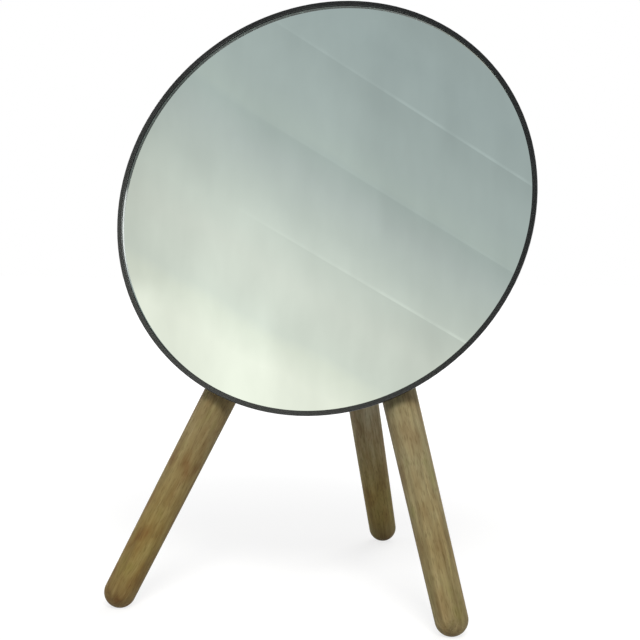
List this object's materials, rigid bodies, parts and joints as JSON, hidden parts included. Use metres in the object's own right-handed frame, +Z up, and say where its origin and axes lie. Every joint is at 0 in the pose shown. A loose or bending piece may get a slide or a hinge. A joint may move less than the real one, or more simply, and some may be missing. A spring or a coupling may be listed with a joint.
{
  "type": "table mirror",
  "caption": "Round table mirror in a thin dark rim that leans back on tapered wooden legs, which screw into a moulded hub behind the glass.",
  "frame": {"origin": "on the table, under the middle of the mirror's bounding box", "axes": "+Z up; the glass looks towards -Y and leans back towards +Y; +X to the right of someone who looks into it"},
  "size_m": [0.27, 0.2502, 0.3723],
  "materials": {
    "casing_plastic": "near-black moulded plastic, satin",
    "silvered_glass": "polished silvered float glass",
    "safety_film": "thin film, satin",
    "foam_tape": "closed-cell foam, matt",
    "zinc_steel": "zinc plated",
    "hub_plastic": "near-black moulded plastic, fine texture",
    "lacquered_wood": "turned, clear satin lacquer",
    "brass": "turned"
  },
  "bodies": {
    "root": {"casing": "casing_plastic", "mirror_glass": "silvered_glass", "safety_film": "safety_film", "tape_pads": "foam_tape", "mounting_plate": "zinc_steel", "plate_nuts": "zinc_steel", "hub": "hub_plastic", "hub_washers": "zinc_steel", "hub_screws": "zinc_steel", "leg_left": "lacquered_wood", "leg_right": "lacquered_wood", "leg_rear": "lacquered_wood", "insert_left": "brass", "insert_right": "brass", "insert_rear": "brass", "leg_bolt_left": "zinc_steel", "leg_bolt_right": "zinc_steel", "leg_bolt_rear": "zinc_steel"}
  },
  "joints": []
}
